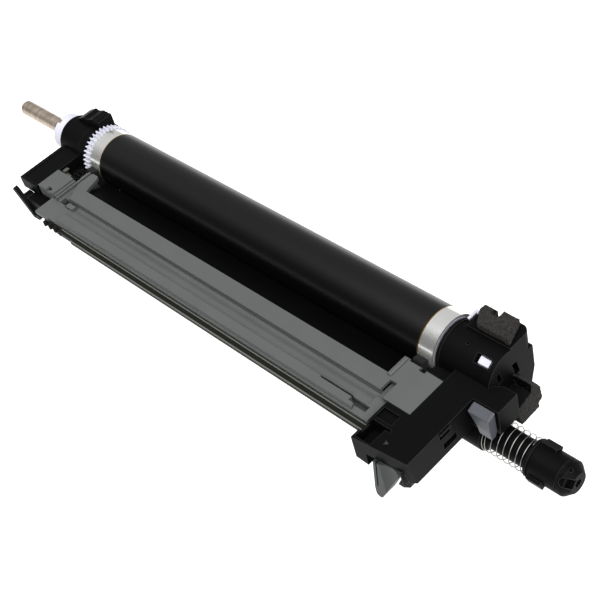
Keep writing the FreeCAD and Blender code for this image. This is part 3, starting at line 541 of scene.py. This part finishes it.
def raised_form(piece, name, draft, round_mm, material):
    """Draws in the upper face of a primitive, rounds its edges and gives it its finish and its body."""
    piece.name = name
    top = max(vertex.co.z for vertex in piece.data.vertices)
    bpy.ops.object.mode_set(mode="EDIT")
    bpy.ops.mesh.select_all(action="DESELECT")
    bpy.ops.mesh.select_mode(type="FACE")
    bpy.ops.object.mode_set(mode="OBJECT")
    for face in piece.data.polygons:
        heights = [piece.data.vertices[i].co.z for i in face.vertices]
        face.select = all(abs(height - top) < SAME_HEIGHT for height in heights)
    bpy.ops.object.mode_set(mode="EDIT")
    bpy.ops.transform.resize(value=(draft, draft, 1))
    bpy.ops.mesh.select_mode(type="VERT")
    bpy.ops.object.mode_set(mode="OBJECT")
    bpy.ops.object.transform_apply(location=True, rotation=True, scale=True)
    apply_modifier(piece, "BEVEL", {"width": round_mm * MM, "segments": 2})
    bpy.ops.object.shade_smooth_by_angle(angle=math.radians(40))
    piece.data.materials.clear()
    piece.data.materials.append(material)
    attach(piece, "unit")
    print(name, len(piece.data.polygons), "faces")


FRAME_TOP = 3.5
RIB_HIGH = 1.0
SUNK = 0.05
rib = block((230.1, -25.4, FRAME_TOP + RIB_HIGH / 2 - SUNK), (2.3, 12.4, RIB_HIGH))
raised_form(rib, "frame_end_rib", 0.93, 0.25, grey_abs)

# %% [markdown]
# The arrow is a small raised mark on top of the housing. It is a plain triangle, so it starts from a
# cylinder with three sides, which is quicker than cutting a corner off a cube.

# %% Moulded arrow
ARROW_RADIUS = 1.4
ARROW_DEPTH = 0.4
ARROW_TURN = 40
bpy.ops.object.select_all(action="DESELECT")
bpy.ops.mesh.primitive_cylinder_add(vertices=3, radius=ARROW_RADIUS * MM, depth=ARROW_DEPTH * MM,
                                    location=place(253.3, -59.1, 3.6),
                                    rotation=(0, 0, math.radians(ARROW_TURN)))
arrow = bpy.context.object
bpy.ops.object.transform_apply(location=False, rotation=True, scale=False)
raised_form(arrow, "moulded_arrow", 0.85, 0.08, black_abs)

# %% [markdown]
# The end foam is stuck below a thin moulded ledge, which stands out from the end plate. It could be
# three boxes, but their corners would show. Its line is drawn one corner at a time from a single
# point instead, pulled out along the drum, and given its wall.

# %% Foam ledge
LEDGE_LINE = [(-8.1, -10.7), (2.7, -7.8), (3.2, -2.9)]
LEDGE_WALL = 0.7
LEDGE_ROUND = 0.15
LEDGE_SUNK = 0.05


def drawn_sheet(name, corners, start_x, length):
    """A sheet whose line across the drum is extruded corner by corner, then pulled along the drum."""
    bpy.ops.object.select_all(action="DESELECT")
    bpy.ops.mesh.primitive_plane_add(size=MM, location=place(start_x, *corners[0]))
    piece = bpy.context.object
    piece.name = name
    bpy.ops.object.mode_set(mode="EDIT")
    bpy.ops.mesh.select_all(action="SELECT")
    bpy.ops.mesh.merge(type="CENTER")
    for (y0, z0), (y1, z1) in zip(corners, corners[1:]):
        step = (0.0, (y1 - y0) * MM, (z1 - z0) * MM)
        bpy.ops.mesh.extrude_vertices_move(TRANSFORM_OT_translate={"value": step})
    bpy.ops.object.mode_set(mode="OBJECT")
    bpy.ops.object.transform_apply(location=True, rotation=True, scale=True)
    bpy.ops.object.mode_set(mode="EDIT")
    bpy.ops.mesh.select_all(action="SELECT")
    bpy.ops.mesh.extrude_edges_move(TRANSFORM_OT_translate={"value": (length * MM, 0, 0)})
    bpy.ops.mesh.select_all(action="SELECT")
    bpy.ops.mesh.normals_make_consistent(inside=False)
    bpy.ops.object.mode_set(mode="OBJECT")
    return piece


foam_low, foam_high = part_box("end_foam")
ledge_start = (foam_low.x - START.x) / MM - LEDGE_SUNK
ledge_length = (foam_high.x - foam_low.x) / MM
ledge = drawn_sheet("foam_ledge", LEDGE_LINE, ledge_start, ledge_length)
apply_modifier(ledge, "SOLIDIFY", {"thickness": LEDGE_WALL * MM, "offset": 0.0})
apply_modifier(ledge, "BEVEL", {"width": LEDGE_ROUND * MM, "segments": 2, "limit_method": "ANGLE"})
ledge.data.materials.append(black_abs)
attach(ledge, "unit")
print("ledge", len(ledge.data.polygons), "faces")

# %% [markdown]
# The grey frame's valley is moulded as one smooth hollow. Its round goes from below the blade strip
# out to the flat front. The solid has it as flat slopes, so the curve is drawn across the drum in the
# same way as the ledge and pulled along it as a thin skin.

# %% Frame valley
VALLEY_START = 11.2
VALLEY_END = 231.9
VALLEY_SKIN = 0.06
VALLEY_LINE = [(-39.36, 3.4), (-39.42, 1.3), (-39.6, 0.72), (-39.95, 0.42), (-40.5, 0.24),
               (-41.2, 0.2), (-42.0, 0.36), (-42.9, 0.75), (-43.8, 1.12), (-44.8, 1.29),
               (-47.9, 1.27)]
valley = drawn_sheet("frame_valley", VALLEY_LINE, VALLEY_START, VALLEY_END - VALLEY_START)
apply_modifier(valley, "SOLIDIFY", {"thickness": VALLEY_SKIN * MM, "offset": 0.0})
bpy.ops.object.shade_smooth_by_angle(angle=math.radians(50))
valley.data.materials.append(grey_abs)
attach(valley, "unit")
print("valley", len(valley.data.polygons), "faces")

# %% [markdown]
# Two more moulded forms finish the front: the floor of the narrow channel in the frame's front, and
# a black stop, which fills the gap that the solids leave at the right of the grey foot. Both are
# plain blocks with drawn-in tops, so they are made as the rib was.

# %% Channel floor and foot stop
# The channel floor takes the darker grey, which is painted shade.
channel = block((219.3, -49.65, -1.1), (28.5, 3.0, 0.3))
raised_form(channel, "channel_floor", 0.99, 0.05, shaded_grey_abs)
stop = block((264.3, -60.9, -8.6), (0.85, 6.4, 8.4))
raised_form(stop, "foot_stop", 0.98, 0.1, black_abs)

# %% [markdown]
# The return spring is zinc plated wire, wound cold on a mandrel, with its last turn at each end laid
# close to the one before. A Screw modifier sweeps the wire's round section once round for each turn.
# Flat turns and open turns start from the same section, so their ends meet and merge to one wire.

# %% Turns of wire
CAD_WIRE = 0.3
WIRE = 0.24
WIRE_SIDES = 10
STEPS_A_TURN = 72
OPEN_TURNS = 6
FLAT_PITCH = 1.2
spring_low, spring_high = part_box("shutter_spring")
SPRING_MIDDLE = (spring_low + spring_high) / 2
COIL_RADIUS = (spring_high.z - spring_low.z) / 2 / MM - CAD_WIRE
SPRING_LENGTH = (spring_high.x - spring_low.x) / MM - 2 * WIRE


def turns(start, count, pitch):
    """Some whole turns of wire from a place along the spring, each a pitch further on."""
    bpy.ops.object.select_all(action="DESELECT")
    bpy.ops.mesh.primitive_circle_add(vertices=WIRE_SIDES, radius=WIRE * MM,
                                      rotation=(math.radians(90), 0, 0))
    coil = bpy.context.object
    bpy.ops.object.mode_set(mode="EDIT")
    bpy.ops.mesh.select_all(action="SELECT")
    bpy.ops.transform.translate(value=(start * MM, 0, COIL_RADIUS * MM))
    bpy.ops.object.mode_set(mode="OBJECT")
    bpy.ops.object.transform_apply(location=True, rotation=True, scale=True)
    apply_modifier(coil, "SCREW", {
        "axis": "X", "angle": math.radians(360), "iterations": count, "screw_offset": pitch * MM,
        "steps": STEPS_A_TURN, "render_steps": STEPS_A_TURN, "use_merge_vertices": False})
    return coil


open_pitch = (SPRING_LENGTH - 2 * FLAT_PITCH) / OPEN_TURNS
coils = [turns(0.0, 1, FLAT_PITCH), turns(FLAT_PITCH, OPEN_TURNS, open_pitch),
         turns(SPRING_LENGTH - FLAT_PITCH, 1, FLAT_PITCH)]
print("pitch of the open turns", round(open_pitch, 2), "mm")

# %% [markdown]
# The three lengths of wire become one: joined, merged where their sections meet, and closed at both
# ends. The spring then takes its place round the tube.

# %% Return spring
MEET = 0.00002
bpy.ops.object.select_all(action="DESELECT")
for coil in coils:
    coil.select_set(True)
bpy.context.view_layer.objects.active = coils[0]
bpy.ops.object.join()
spring = bpy.context.object
spring.name = "return_spring"
bpy.ops.object.mode_set(mode="EDIT")
bpy.ops.mesh.select_all(action="SELECT")
bpy.ops.mesh.remove_doubles(threshold=MEET)
bpy.ops.mesh.select_all(action="DESELECT")
bpy.ops.mesh.select_non_manifold()
bpy.ops.mesh.edge_face_add()
bpy.ops.mesh.select_all(action="SELECT")
bpy.ops.mesh.normals_make_consistent(inside=False)
bpy.ops.transform.translate(value=(spring_low.x + WIRE * MM, SPRING_MIDDLE.y, SPRING_MIDDLE.z))
bpy.ops.object.mode_set(mode="OBJECT")
bpy.ops.object.shade_smooth()
spring.data.materials.clear()
spring.data.materials.append(spring_wire)
print("spring", len(spring.data.polygons), "faces", round(SPRING_LENGTH, 2), "mm between end turns")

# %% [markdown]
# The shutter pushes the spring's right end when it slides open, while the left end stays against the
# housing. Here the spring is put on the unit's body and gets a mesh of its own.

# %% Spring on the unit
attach(spring, "unit")
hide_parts("shutter_spring")
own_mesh(spring)
